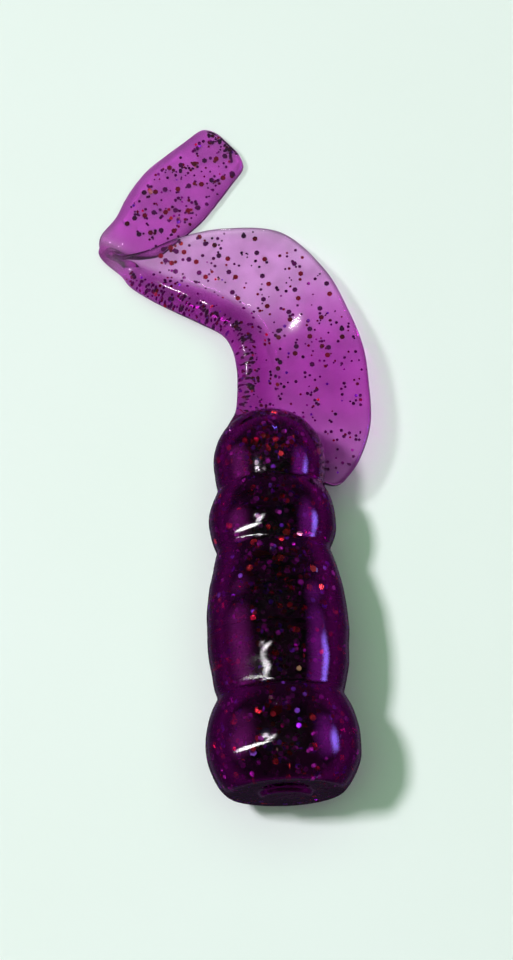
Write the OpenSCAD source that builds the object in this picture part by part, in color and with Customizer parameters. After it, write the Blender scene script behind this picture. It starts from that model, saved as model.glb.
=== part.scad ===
// Soft plastic worm: a curly-tail bait poured from glitter-filled plastisol.
// Millimetres. The floor is z = 0, +Y runs from the nose to the tail.
// The body is one revolved outline cut into segments and the thin necks that flex between them.
// The tail is one ribbon: a thick spine, a thin web beside it, a turned-over fold and a flat tip.

/* [Body axis] */
// Drop of the body axis towards the tail, in degrees
body_tilt = 3.3; // [2:0.1:4.5]
// Depth of the resting flats that the body's weight presses into its underside
rest_sink = 0.25; // [0.1:0.05:0.5]

/* [Nose segment] */
// Widest diameter of the nose segment
nose_d = 12.3; // [11.6:0.1:14]
// From the widest section forward to the front face
nose_front = 3.8; // [3:0.1:5]
// From the widest section back to the front waist
nose_rear = 4; // [3.6:0.1:6]
// Diameter of the flat front face
nose_face_d = 9.2; // [7:0.1:11]
// Diameter of the round stub that the mould's gate leaves on the front face
gate_d = 4.2; // [2:0.1:6]
// Height of the gate stub
gate_h = 0.4; // [0.2:0.1:1]

/* [Barrel segment] */
// Widest diameter of the barrel segment
barrel_d = 11.3; // [10.6:0.1:12]
// From the front waist back to the widest section
barrel_front = 4.9; // [4:0.1:7]
// From the widest section back to the middle waist
barrel_rear = 7.1; // [5:0.1:10]

/* [Ring segment] */
// Widest diameter of the ring segment
ring_d = 10.1; // [9.6:0.1:11]
// From the middle waist back to the widest section
ring_front = 2.3; // [2:0.1:4]
// From the widest section back to the rear waist
ring_rear = 2.8; // [2:0.1:4]

/* [Dome segment] */
// Diameter of the round end of the body, which is half a ball
dome_d = 9; // [8.7:0.1:10]
// From the rear waist back to the widest section
dome_front = 2.2; // [1.8:0.1:2.8]

/* [Waists] */
// Depth of the waist between nose and barrel, below the thinner of the two
front_waist_depth = 0.7; // [0.4:0.05:1.2]
// Depth of the waist between barrel and ring, below the thinner of the two
middle_waist_depth = 0.55; // [0.3:0.05:1]
// Depth of the waist between ring and dome, below the thinner of the two
rear_waist_depth = 0.25; // [0.2:0.05:0.6]
// Length of the body that flexes at the front and middle waists
neck_len = 2; // [1.8:0.1:2.4]
// Length of the body that flexes at the rear waist
rear_neck_len = 1.6; // [1.5:0.1:2]

/* [Tail root] */
// From the tip of the dome back to the line where the tail flaps
root_run = 2; // [1.6:0.1:3]
// Diameter of the spine where it grows out of the dome
root_spine_d = 3.2; // [2.8:0.1:4]
// Length of tail that flexes at the flap line
flap_len = 1.8; // [1.6:0.1:2.2]

/* [Tail spine and web] */
// Diameter of the spine at the flap line
spine_d = 2.2; // [1.8:0.1:2.6]
// Diameter of the spine at its far end
spine_end_d = 1.1; // [0.9:0.1:1.4]
// Spine to the outer edge of the web at the flap line
web_w = 9.5; // [7.5:0.1:11]
// Flap line to the farthest point of the web's outer edge
web_len = 14.1; // [12:0.1:18]
// Thickness of the web
web_t = 0.7; // [0.5:0.05:1]
// Offset of the spine from the body axis, to the left
spine_side = 1.2; // [0.6:0.1:2]

/* [Tail tip] */
// Fold to the end of the tip
tip_len = 13.2; // [10:0.1:16]
// Widest part of the tip
tip_w = 6.3; // [5:0.1:7]
// Width of the tip's blunt end
tip_end_w = 4.6; // [2.8:0.1:5]
// Thickness of the tip
tip_t = 0.9; // [0.7:0.05:1.1]
// Direction of the folded-back tip, in degrees from +X
tip_heading = 43; // [40:1:60]
// How far the folded corner stands above the floor
fold_rise = 2.2; // [1.6:0.1:2.6]

/* [Glitter] */
// Width of a six-sided flake across its corners
flake_d = 0.45; // [0.35:0.05:0.6]
// Thickness of a flake
flake_t = 0.08; // [0.06:0.01:0.12]
// Flakes of one colour in each 10 mm of body
flake_rate = 30; // [8:1:40]
// Flakes of one colour in the web
web_flakes = 26; // [10:1:40]
// Flakes of one colour in the tip
tip_flakes = 14; // [6:1:24]
// Least depth of a flake below the skin
flake_depth = 0.7; // [0.6:0.05:1]

/* [View] */
// Node to draw

/* [Hidden] */

body_colour = [0.13, 0.03, 0.14];
spine_colour = [0.55, 0.15, 0.56];
web_colour = [0.76, 0.58, 0.78];
tip_colour = [0.62, 0.26, 0.6];
red_colour = [0.85, 0.12, 0.22];
violet_colour = [0.45, 0.25, 0.9];

round_fn = 72;
arc_fn = 180;

// Stations along the body axis, counted from the widest section of the nose
front_waist_d = min(nose_d, barrel_d) - 2 * front_waist_depth;
middle_waist_d = min(barrel_d, ring_d) - 2 * middle_waist_depth;
rear_waist_d = min(ring_d, dome_d) - 2 * rear_waist_depth;
front_waist_a = nose_rear;
barrel_a = front_waist_a + barrel_front;
middle_waist_a = barrel_a + barrel_rear;
ring_a = middle_waist_a + ring_front;
rear_waist_a = ring_a + ring_rear;
dome_a = rear_waist_a + dome_front;
dome_end_a = dome_a + dome_d / 2;
axis_z = nose_d / 2 - rest_sink;

// The tail's flap line lies beyond the tip of the dome, a little below the body axis
flap_y = (dome_end_a + root_run) * cos(body_tilt);
flap_z = axis_z - (dome_end_a + root_run) * sin(body_tilt) - spine_d / 7.3;
flap_x = -spine_side;
far_z = 0.61 * tip_t;

// Ring of sections along the ribbon, counted in stations: the flap line is station 3
flap_station = 3;
flap_half = flap_len / 2 / (0.156 * web_len);
fold_start = 10.6;
fold_end = 13.6;
spine_sides = 14;
golden_angle = 137.5;
golden_share = 0.618;
edge_bevel = 0.36 * web_t;

// How many flakes one colour puts into a stretch of body
function flake_count(run) = round(run * flake_rate / 10);

// Radius of the circle whose arc falls from r_top to r_end over the run
function arc_r(r_top, r_end, run) =
    round(1000 * (run * run + (r_top - r_end) * (r_top - r_end)) / (2 * (r_top - r_end))) / 1000;

// Radius of a bulge at a distance from its widest section
function bulge_r(r_top, r_end, run, d) =
    let (rho = arc_r(r_top, r_end, run)) r_top - rho + sqrt(max(rho * rho - d * d, 0));

// Radius of the body's outline at a station along its axis
function body_r(a) =
    a < 0 ? bulge_r(nose_d / 2, nose_face_d / 2, nose_front, -a) :
    a < front_waist_a ? bulge_r(nose_d / 2, front_waist_d / 2, nose_rear, a) :
    a < barrel_a ? bulge_r(barrel_d / 2, front_waist_d / 2, barrel_front, barrel_a - a) :
    a < middle_waist_a ? bulge_r(barrel_d / 2, middle_waist_d / 2, barrel_rear, a - barrel_a) :
    a < ring_a ? bulge_r(ring_d / 2, middle_waist_d / 2, ring_front, ring_a - a) :
    a < rear_waist_a ? bulge_r(ring_d / 2, rear_waist_d / 2, ring_rear, a - ring_a) :
    a < dome_a ? bulge_r(dome_d / 2, rear_waist_d / 2, dome_front, dome_a - a) :
    bulge_r(dome_d / 2, 0, dome_d / 2, a - dome_a);

function unit(v) = v / norm(v);
function mix(a, b, t) = a + (b - a) * t;
function frac(t) = t - floor(t);

// Point on a smooth curve through a list of points, at a whole or part station
function on_curve(p, u) =
    let (
        last = len(p) - 1,
        i = min(max(floor(u), 0), last - 1),
        t = u - i,
        a = p[max(i - 1, 0)],
        b = p[i],
        c = p[i + 1],
        d = p[min(i + 2, last)]
    )
    (2 * b + (c - a) * t + (2 * a - 5 * b + 4 * c - d) * t * t
        + (3 * b - a - 3 * c + d) * t * t * t) / 2;

// Stations of the web: the spine, then the outer edge. Sideways places are shares of web_w,
// places along the tail are shares of web_len, and heights are shares of the flap line's
// height above the far end. The first three stations lie in and beside the dome.
web_stations = [
    [[-0.08, -0.36, 1.18], [0.7, -0.614, 1.18]],
    [[-0.08, -0.27, 1.13], [0.88, -0.464, 1.13]],
    [[-0.01, -0.15, 1.07], [0.995, -0.245, 1.07]],
    [[0, 0, 1], [1, 0, 1]],
    [[0, 0.14, 0.91], [0.97, 0.22, 0.89]],
    [[-0.04, 0.28, 0.8], [0.865, 0.445, 0.77]],
    [[-0.14, 0.395, 0.65], [0.68, 0.715, 0.57]],
    [[-0.345, 0.49, 0.5], [0.325, 0.965, 0.36]],
    [[-0.55, 0.57, 0.36], [-0.16, 1.015, 0.25]],
    [[-0.76, 0.65, 0.24], [-0.55, 0.975, 0.26]],
    [[-0.955, 0.74, 0.13], [-0.83, 0.9, 0.38]],
    [[-1.07, 0.825, 0.06], [-1.04, 0.86, 0.56]]
];
web_edges = [for (s = web_stations) [for (p = s) [
    flap_x + p[0] * web_w,
    flap_y + p[1] * web_len,
    mix(far_z, flap_z, p[2])
]]];

// The fold turns the ribbon about a raised corner, and the tip runs back from it
fold_at = [flap_x - 1.115 * web_w, flap_y + 0.905 * web_len];
tip_along = [cos(tip_heading), sin(tip_heading)];
tip_left = [-sin(tip_heading), cos(tip_heading)];
fold_edges = [
    [concat(fold_at + fold_rise * [-0.39, 0.09], far_z),
        concat(fold_at + fold_rise * [0.23, -0.14], far_z + fold_rise)],
    [concat(fold_at + fold_rise * [-0.36, 0.59], far_z),
        concat(fold_at + fold_rise * [0.64, -0.02], far_z + 0.95 * fold_rise)]
];

// Half width of the tip at a share of its length: straight flanks with a rounded shoulder. The
// start is a share of the width, less on the right, where the tip leaves the web
function tip_half(s, start) =
    s < 0.54 ? mix(start * tip_w, tip_w / 2, sin(90 * s / 0.54)) :
    mix(tip_w / 2, tip_end_w / 2, pow((s - 0.54) / 0.46, 1.2));
// The blunt end is rounded at its corners
function tip_round(s) = s < 0.94 ? 1 : sqrt(1 - 0.75 * pow((s - 0.94) / 0.06, 2));
tip_shares = [0.17, 0.3, 0.42, 0.54, 0.68, 0.82, 0.94, 0.98, 1];
tip_edges = [for (s = tip_shares)
    let (
        centre = fold_at + tip_along * tip_len * s,
        left_half = tip_half(s, 0.2) * tip_round(s),
        right_half = tip_half(s, 0.12) * tip_round(s),
        lift = fold_rise * 0.8 * pow(1 - s, 4)
    )
    [concat(centre + tip_left * (left_half - tip_t / 2), far_z),
        concat(centre - tip_left * right_half, far_z + lift)]
];

edges = concat(web_edges, fold_edges, tip_edges);
inner_edge = [for (e = edges) e[0]];
outer_edge = [for (e = edges) e[1]];
middle_line = [for (e = edges) (e[0] + e[1]) / 2];
tip_end = len(edges) - 1;

// Section of the ribbon at a station: the inner point, the direction across, the upward
// normal and the width
function section(u) =
    let (
        s = on_curve(inner_edge, u),
        o = on_curve(outer_edge, u),
        across = unit(o - s),
        here = min(max(u, 0.02), tip_end - 0.02),
        along = on_curve(middle_line, here + 0.02) - on_curve(middle_line, here - 0.02)
    )
    [s, across, unit(cross(across, along)), norm(o - s)];

// Point of the ribbon's middle surface, and of a place above or below it
function ribbon_point(u, w, h) = let (c = section(u)) c[0] + c[1] * w + c[2] * h;

// Thickness of the ribbon at a station: the web's up to the fold, then the tip's
function ribbon_t(u) =
    u < fold_start ? web_t : mix(web_t, tip_t, min((u - fold_start) / 1.5, 1));

// Share of the way from the flap line to the fold
function tail_share(u) = (u - flap_station) / (fold_start - flap_station);

// Radius of the rounded inner edge at a station: the spine swells into the dome, thins to its
// far end, and beyond the fold is no thicker than the tip
function spine_r(u) =
    u < flap_station ? mix(root_spine_d, spine_d, u / flap_station) / 2 :
    u < fold_start ? mix(spine_d, spine_end_d, pow(tail_share(u), 2.5)) / 2 :
    max(mix(spine_end_d, tip_t, min((u - fold_start) / 1.5, 1)), ribbon_t(u)) / 2;

// Closed solid over rings of points, each ring with the same count. Each end is closed by flat
// faces, given as lists of places in a ring
module skin(rings, ends) {
    n = len(rings[0]);
    last = len(rings) - 1;
    points = [for (r = rings) for (p = r) p];
    sides = [for (j = [0 : last - 1]) for (i = [0 : n - 1])
        let (a = j * n + i, b = j * n + (i + 1) % n) each [[a, b, b + n], [a, b + n, a + n]]];
    start = [for (e = ends) [for (i = [len(e) - 1 : -1 : 0]) e[i]]];
    end = [for (e = ends) [for (i = e) last * n + i]];
    polyhedron(points = points, faces = concat(sides, start, end), convexity = 6);
}

// Places of the sections between two stations
function stations(from, to, count) = [for (i = [0 : count]) mix(from, to, i / count)];

// Round of the inner edge at a station, in places across and above: it leaves a flat of the
// ribbon's thickness on the side that the web grows from
function spine_outline(u) =
    let (r = spine_r(u), flat = asin(ribbon_t(u) / 2 / r))
    [for (i = [0 : spine_sides - 1])
        let (t = mix(flat, 360 - flat, i / (spine_sides - 1))) [r * cos(t), -r * sin(t)]];

// Bevelled outer edge of the ribbon at a station, from its top round to its underside
function outer_outline(u) =
    let (w = section(u)[3], h = ribbon_t(u) / 2, far = w - min(edge_bevel, w / 3), low = h / 3)
    [[far, h], [w, low], [w, -low], [far, -h]];

// Where the web meets the flat of the spine
function web_start(u) =
    let (r = spine_r(u), h = ribbon_t(u) / 2, w = sqrt(r * r - h * h)) [[w, -h], [w, h]];

// An outline in places across and above, carried to its station
function placed(u, outline) =
    let (c = section(u)) [for (p = outline) c[0] + c[1] * p[0] + c[2] * p[1]];

// Places of the spine's round and of the web in a ring of the whole ribbon
spine_places = [for (i = [0 : spine_sides - 1]) i];
web_places = concat([for (i = [spine_sides - 1 : spine_sides + 3]) i], [0]);

// Round spine alone
module spine_part(from, to, count) {
    skin([for (u = stations(from, to, count)) placed(u, spine_outline(u))], [spine_places]);
}

// Thin web alone, from the spine's flat to the outer edge
module web_part(from, to, count) {
    skin([for (u = stations(from, to, count)) placed(u, concat(web_start(u), outer_outline(u)))], [[0, 1, 2, 3, 4, 5]]);
}

// Rounded inner edge and web in one
module whole_ribbon(from, to, count) {
    skin([for (u = stations(from, to, count)) placed(u, concat(spine_outline(u), outer_outline(u)))],
        [spine_places, web_places]);
}

// Carries a shape drawn about +Z on to the body axis
module along_body() {
    translate([0, 0, axis_z])
        rotate([-90 - body_tilt, 0, 0])
            children();
}

// Half of a bulge: an arc from the widest radius down to the end radius. Past a waist it runs on
// inside its neighbour, so that the two arcs cross there
module half_bulge(r_top, r_end, run, past = 0.3) {
    rho = arc_r(r_top, r_end, run);
    intersection() {
        translate([r_top - rho, 0])
            circle(r = rho, $fn = arc_fn);
        square([2 * r_top, run + past]);
    }
}

// Half outline of the whole body, before it is turned about its axis
module body_outline() {
    mirror([0, 1])
        half_bulge(nose_d / 2, nose_face_d / 2, nose_front, 0);
    half_bulge(nose_d / 2, front_waist_d / 2, nose_rear);
    translate([0, barrel_a])
        mirror([0, 1])
            half_bulge(barrel_d / 2, front_waist_d / 2, barrel_front);
    translate([0, barrel_a])
        half_bulge(barrel_d / 2, middle_waist_d / 2, barrel_rear);
    translate([0, ring_a])
        mirror([0, 1])
            half_bulge(ring_d / 2, middle_waist_d / 2, ring_front);
    translate([0, ring_a])
        half_bulge(ring_d / 2, rear_waist_d / 2, ring_rear);
    translate([0, dome_a])
        mirror([0, 1])
            half_bulge(dome_d / 2, rear_waist_d / 2, dome_front);
    translate([0, dome_a])
        half_bulge(dome_d / 2, 0, dome_d / 2, 0);
}

// Slice of the turned body between two stations, with its resting flat
module body_slice(from, to) {
    difference() {
        along_body()
            rotate_extrude($fn = round_fn)
                intersection() {
                    body_outline();
                    translate([0, from])
                        square([nose_d, to - from]);
                }
        translate([-nose_d, -nose_d, -nose_d])
            cube([2 * nose_d, 4 * dome_end_a, nose_d]);
    }
}

module nose_segment() {
    color(body_colour) {
        body_slice(-nose_front, front_waist_a - neck_len / 2);
        along_body()
            translate([0, 0, -nose_front - gate_h])
                cylinder(d = gate_d, h = gate_h, $fn = round_fn);
    }
}

module front_neck() {
    color(body_colour)
        body_slice(front_waist_a - neck_len / 2, front_waist_a + neck_len / 2);
}

module barrel_segment() {
    color(body_colour)
        body_slice(front_waist_a + neck_len / 2, middle_waist_a - neck_len / 2);
}

module middle_neck() {
    color(body_colour)
        body_slice(middle_waist_a - neck_len / 2, middle_waist_a + neck_len / 2);
}

module ring_segment() {
    color(body_colour)
        body_slice(middle_waist_a + neck_len / 2, rear_waist_a - rear_neck_len / 2);
}

module rear_neck() {
    color(body_colour)
        body_slice(rear_waist_a - rear_neck_len / 2, rear_waist_a + rear_neck_len / 2);
}

module tail_dome() {
    color(body_colour)
        body_slice(rear_waist_a + rear_neck_len / 2, dome_end_a);
}

// Root of the tail: the spine swells into the left of the dome, and the web wraps the
// dome's right side at the height of the body axis
module tail_root() {
    color(spine_colour)
        difference() {
            whole_ribbon(0, flap_station - flap_half, 8);
            tail_dome();
            rear_neck();
        }
}

// Short length of spine and web that flexes when the tail flaps
module tail_hinge() {
    color(spine_colour)
        whole_ribbon(flap_station - flap_half, flap_station + flap_half, 3);
}

module tail_spine() {
    color(spine_colour)
        spine_part(flap_station + flap_half, fold_start, 32);
}

module tail_web() {
    color(web_colour)
        web_part(flap_station + flap_half, fold_start, 32);
}

// Turned-over length between web and tip
module tail_fold() {
    color(tip_colour)
        whole_ribbon(fold_start, fold_end, 14);
}

module tail_tip() {
    color(tip_colour)
        whole_ribbon(fold_end, tip_end, 26);
}

module flake() {
    translate([0, 0, -flake_t / 2])
        cylinder(d = flake_d, h = flake_t, $fn = 6);
}

// Flakes in a stretch of body, spread by the golden angle and tipped at many angles. Their
// depths below the skin cover a layer of the given thickness
module body_flakes(from, to, turn, layer) {
    count = flake_count(to - from);
    for (i = [0 : count - 1]) {
        a = mix(from + flake_d, to - flake_d, (i + 0.5) / count);
        depth = flake_depth + layer * frac(i * golden_share + turn / 360);
        along_body()
            rotate([0, 0, i * golden_angle + turn])
                translate([max(body_r(a) - depth, flake_d), 0, a])
                    rotate([i * 47, 60 + 60 * frac(i * 0.382), 0])
                        flake();
    }
}

// Flakes in the upper half of the dome, in rows over its top, clear of the tail's root
module dome_flakes(turn) {
    from = rear_waist_a + rear_neck_len / 2;
    count = flake_count(dome_end_a - from);
    for (i = [0 : count - 1]) {
        a = mix(from + flake_d, dome_a + dome_d / 6, (i + 0.5) / count);
        side = mix(-50, 50, frac(i * golden_share + turn / 360));
        along_body()
            rotate([0, 0, side - 90])
                translate([body_r(a) - flake_depth - flake_d * frac(i * 0.382), 0, a])
                    rotate([i * 47, 60 + 60 * frac(i * 0.382), 0])
                        flake();
    }
}

// Flakes in the ribbon, lying in its middle surface
module ribbon_flakes(from, to, count, inset, turn) {
    for (i = [0 : count - 1]) {
        u = mix(from + 0.15, to - 0.3, (i + 0.5) / count);
        c = section(u);
        w = mix(inset, c[3] - flake_d, frac(i * golden_share + turn / 360));
        translate(ribbon_point(u, w, 0))
            rotate([0, acos(c[2][2]), atan2(c[2][1], c[2][0])])
                rotate([0, 0, i * 25])
                    flake();
    }
}

module nose_red_flakes() {
    color(red_colour)
        body_flakes(-nose_front, front_waist_a - neck_len / 2, 0, nose_d / 8);
}

module nose_violet_flakes() {
    color(violet_colour)
        body_flakes(-nose_front, front_waist_a - neck_len / 2, 75, nose_d / 8);
}

module barrel_red_flakes() {
    color(red_colour)
        body_flakes(front_waist_a + neck_len / 2, middle_waist_a - neck_len / 2, 20, barrel_d / 7);
}

module barrel_violet_flakes() {
    color(violet_colour)
        body_flakes(front_waist_a + neck_len / 2, middle_waist_a - neck_len / 2, 95, barrel_d / 7);
}

module ring_red_flakes() {
    color(red_colour)
        body_flakes(middle_waist_a + neck_len / 2, rear_waist_a - rear_neck_len / 2, 40, ring_d / 7);
}

module ring_violet_flakes() {
    color(violet_colour)
        body_flakes(middle_waist_a + neck_len / 2, rear_waist_a - rear_neck_len / 2, 115, ring_d / 7);
}

module dome_red_flakes() {
    color(red_colour)
        dome_flakes(60);
}

module dome_violet_flakes() {
    color(violet_colour)
        dome_flakes(135);
}

module web_red_flakes() {
    color(red_colour)
        ribbon_flakes(flap_station + flap_half, fold_start - 0.8, web_flakes, spine_d, 0);
}

module web_violet_flakes() {
    color(violet_colour)
        ribbon_flakes(flap_station + flap_half, fold_start - 0.8, web_flakes, spine_d, 150);
}

module tip_red_flakes() {
    color(red_colour)
        ribbon_flakes(fold_end + 0.2, tip_end - 1.6, tip_flakes, flake_d, 30);
}

module tip_violet_flakes() {
    color(violet_colour)
        ribbon_flakes(fold_end + 0.2, tip_end - 1.6, tip_flakes, flake_d, 200);
}

nose_segment();
front_neck();
barrel_segment();
middle_neck();
ring_segment();
rear_neck();
tail_dome();
tail_root();
tail_hinge();
tail_spine();
tail_web();
tail_fold();
tail_tip();
nose_red_flakes();
nose_violet_flakes();
barrel_red_flakes();
barrel_violet_flakes();
ring_red_flakes();
ring_violet_flakes();
dome_red_flakes();
dome_violet_flakes();
web_red_flakes();
web_violet_flakes();
tip_red_flakes();
tip_violet_flakes();
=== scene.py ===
# %% [markdown]
# A curly-tail grub, poured from translucent purple plastisol with glitter stirred in. The real
# bait is one soft piece, so here its skin is a single idea, a closed outline carried along a
# path, cut only where two stiff stretches meet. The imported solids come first: they hold the
# sizes, the places and the bodies that move, and nothing below moves them.

# %% Load the frame
import math
import bpy
import numpy as np
from mathutils import Matrix


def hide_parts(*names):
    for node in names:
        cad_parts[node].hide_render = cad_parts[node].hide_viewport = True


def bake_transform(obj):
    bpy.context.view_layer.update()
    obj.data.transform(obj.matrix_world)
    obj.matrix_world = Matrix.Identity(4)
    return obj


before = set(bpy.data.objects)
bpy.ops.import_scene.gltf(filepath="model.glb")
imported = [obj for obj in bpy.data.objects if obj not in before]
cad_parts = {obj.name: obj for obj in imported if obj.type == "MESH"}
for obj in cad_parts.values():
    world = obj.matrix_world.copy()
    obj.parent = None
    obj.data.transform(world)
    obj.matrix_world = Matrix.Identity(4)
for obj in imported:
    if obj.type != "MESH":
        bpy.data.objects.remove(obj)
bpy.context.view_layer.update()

# %% [markdown]
# Sizes are in millimetres, as in the solids, and become metres only when a mesh is written. The
# body is a row of bulges on an axis that drops a little towards the tail. Each bulge is a pair
# of circle arcs, known from its widest radius and from the waist on either side.

# %% Sizes of the body
MM = 0.001
TILT = math.radians(3.3)
NOSE_R, REST_SINK = 6.15, 0.25
AXIS_Z = NOSE_R - REST_SINK
NOSE_END, GATE_END, GATE_R, FACE_R = -3.8, -4.2, 2.1, 4.6
DOME_AT, DOME_R = 23.3, 4.5
DOME_END = DOME_AT + DOME_R
# the skin is cut where the two middle bulges are widest
FRONT_CUT, REAR_CUT = 8.9, 18.3
# place along the axis and radius of each bulge, and of the ends and the waists beside them
BULGES = ((0.0, NOSE_R), (FRONT_CUT, 5.65), (REAR_CUT, 5.05), (DOME_AT, DOME_R))
WAISTS = ((NOSE_END, FACE_R), (4.0, 4.95), (16.0, 4.5), (21.1, 4.25), (DOME_END, 0.0))


def arc_radius(top, end, run):
    """Radius of the circle whose arc falls from top to end over the run: half of run squared
    over the drop, plus half of the drop."""
    drop = top - end
    return (run * run + drop * drop) / (2 * drop)


def body_radius(a):
    """Radius of the body at a place on its axis: the greatest of the bulges' arcs there. An arc's
    height is the top, less its circle's radius rho, plus the root of rho squared less distance
    squared."""
    best = np.zeros(np.shape(a))
    for (centre, top), (front, front_r), (back, back_r) in zip(BULGES, WAISTS, WAISTS[1:]):
        d = a - centre
        rho = np.where(d < 0, arc_radius(top, front_r, centre - front),
                       arc_radius(top, back_r, back - centre))
        best = np.maximum(best, top - rho + np.sqrt(np.maximum(rho * rho - d * d, 0)))
    return best


print("body", round(DOME_END - GATE_END, 1), "mm long, nose radius", float(body_radius(0.0)))

# %% [markdown]
# A soft pour has no sharp edge. One way is to add a fillet at each waist and rim by hand. It is
# simpler to draw the hard outline, from the stub on the nose to the tip of the dome, walk along
# it in equal steps, and average neighbours with a bell-shaped weight: every corner is rounded by
# the same small amount, and the arcs hardly change.

# %% Outline of the body
STEP = 0.05


def soft_outline(reach=0.16):
    """Places (along the axis, radius) in equal steps along the body's half outline, averaged
    with a Gaussian of the given reach. Past each pole the outline goes on mirrored."""
    swing = np.linspace(0, np.pi / 2, 120)[1:]
    a = np.concatenate([[GATE_END, GATE_END, NOSE_END, NOSE_END],
                        np.linspace(NOSE_END, DOME_AT, 900)[1:], DOME_AT + DOME_R * np.sin(swing)])
    r = np.concatenate([[0, GATE_R, GATE_R, FACE_R], body_radius(a[4:])])
    r[-1] = 0
    walk = np.concatenate([[0], np.cumsum(np.hypot(np.diff(a), np.diff(r)))])
    s = np.linspace(0, walk[-1], int(walk[-1] / STEP) + 1)
    a, r = np.interp(s, walk, a), np.interp(s, walk, r)
    pad = int(4 * reach / STEP)
    weight = np.exp(-0.5 * (np.arange(-pad, pad + 1) * STEP / reach) ** 2)
    weight /= weight.sum()
    a = np.convolve(np.concatenate([a[pad:0:-1], a, a[-2:-pad - 2:-1]]), weight, "valid")
    r = np.convolve(np.concatenate([-r[pad:0:-1], r, -r[-2:-pad - 2:-1]]), weight, "valid")
    return a, r


outline_a, outline_r = soft_outline()
# past this many steps, over the stub and the flat face, the outline only goes on along the axis
PAST_FACE = round((FACE_R + NOSE_END - GATE_END) / STEP)


def outline_radius(a):
    """Radius of the soft outline at places on the axis, read between its equal steps."""
    return np.interp(a, outline_a[PAST_FACE:], outline_r[PAST_FACE:])


def outline_index(a):
    """Index of the first place of the outline at or after a place on the axis."""
    return PAST_FACE + int(np.searchsorted(outline_a[PAST_FACE:], a))


print("outline", len(outline_a), "places, front waist radius", round(float(outline_radius(4.0)), 2))

# %% [markdown]
# The outline is turned about the tilted axis. A perfect turned form would look machined, so a
# few slow waves, a few hundredths of a millimetre high, break up the reflections as a cast skin
# does. Where the bait rests, its own weight presses a flat, so heights are eased to the floor.

# %% Turning the outline
AROUND, RING_EVERY = 144, 4
CUT_GAP = 0.002
FULL_WAVES_R, BODY_EASE = 3.0, 0.12
# height in millimetres, speed along the axis and around it, and phase of each slow wave
WAVES = ((0.022, 0.9, 2, 0.6), (0.018, 1.7, -3, 2.1), (0.014, 2.3, 1, 4.0),
         (0.012, 0.5, 5, 1.3), (0.008, 3.1, -4, 5.2))


def on_axis(a, x, up):
    """World place of a point given along the tilted axis, sideways, and square to both."""
    c, s = math.cos(TILT), math.sin(TILT)
    return np.stack([x + 0 * a, a * c + up * s, AXIS_Z - a * s + up * c], -1)


def waves(a, t):
    """Height of the slow waves in the skin, as a sum of five sines of place and angle."""
    return sum(height * np.sin(along * a + around * t + phase) for height, along, around, phase in WAVES)


def eased_to_floor(z, ease):
    """Half of z plus half of the root of z squared plus ease squared: z well above the floor,
    and nothing below it."""
    return 0.5 * (z + np.sqrt(z * z + ease * ease))


def turned_rings(a_from, a_to):
    """Rings of the skin between two places on the axis: the radius of the outline, with waves,
    swung through the full circle. Steps close up at a cut, so both sides shade alike. None
    stands for an end of the body."""
    first = 0 if a_from is None else outline_index(a_from)
    last = len(outline_a) - 1 if a_to is None else outline_index(a_to)
    keep = np.unique(np.concatenate([np.arange(first, last, RING_EVERY), [first + 1, last - 1, last]]))
    a, r = outline_a[keep], outline_r[keep]
    if a_from is not None:
        a[0], r[0] = a_from + CUT_GAP, outline_radius(a_from)
    if a_to is not None:
        a[-1], r[-1] = a_to - CUT_GAP, outline_radius(a_to)
    t = np.arange(AROUND) * 2 * np.pi / AROUND
    A, T = np.meshgrid(a, t, indexing="ij")
    R = r[:, None] + waves(A, T) * np.clip(r[:, None] / FULL_WAVES_R, 0, 1)
    p = on_axis(A, R * np.sin(T), R * np.cos(T))
    p[..., 2] = eased_to_floor(p[..., 2], BODY_EASE)
    return p


print("rings of the front skin", turned_rings(None, FRONT_CUT).shape)

# %% [markdown]
# The tail is a ribbon that grows out of the dome: a round spine on its left edge and a thin web
# to the right, which narrows to a fold, turns over, and ends in a flat paddle. Two edges give
# the ribbon everywhere: a smooth curve through the spine's places and one through the outer
# edge's. The places are those of the solids, apart from the fold and the right edge of the
# paddle, whose base runs on under the web. The sheet is thick at the root and thin up the web,
# so the top of the tail is pale; the thick root also darkens the lower web in place of the shade
# that falls on it.

# %% Edges of the ribbon
SPINE_SIDE, ROOT_RUN, SPINE_R_FLAP = 1.2, 2.0, 1.1
WEB_W, WEB_LEN, FOLD_RISE = 9.5, 14.1, 2.2
TIP_LEN, TIP_W, TIP_END_W, TIP_T, TIP_HEADING = 13.2, 6.3, 4.6, 0.9, math.radians(43)
# the tail flaps about a line beyond the dome, a little below the axis, and its far end lies low
FLAP_DROP, FAR_Z = SPINE_R_FLAP / 3.65, 0.61 * TIP_T
FLAP = on_axis(np.array(DOME_END + ROOT_RUN), -SPINE_SIDE, 0.0) - [0, 0, FLAP_DROP]
# stations, which count the places of an edge from its first one
LOBE_START, FLAP_STATION, FOLD_START, FOLD_END = -0.4, 3, 11.0, 14.0
# shares of the web's width and length, and of the flap line's height above the far end
SPINE_SHARES = np.array([
    [-0.08, -0.36, 1.18], [-0.08, -0.27, 1.13], [-0.01, -0.15, 1.07], [0, 0, 1], [0, 0.14, 0.91],
    [-0.04, 0.28, 0.8], [-0.14, 0.395, 0.65], [-0.345, 0.49, 0.5], [-0.55, 0.57, 0.36],
    [-0.76, 0.65, 0.24], [-0.955, 0.74, 0.13], [-1.07, 0.825, 0.06]])
OUTER_SHARES = np.array([
    [0.7, -0.614, 1.18], [0.88, -0.464, 1.13], [0.995, -0.245, 1.07], [1, 0, 1], [0.97, 0.22, 0.89],
    [0.865, 0.445, 0.77], [0.68, 0.715, 0.57], [0.325, 0.965, 0.36], [-0.16, 1.015, 0.25],
    [-0.55, 0.975, 0.26], [-0.83, 0.9, 0.38], [-1.04, 0.86, 0.56]])
FOLD_AT = np.array([FLAP[0] - 1.115 * WEB_W, FLAP[1] + 0.905 * WEB_LEN])
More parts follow.
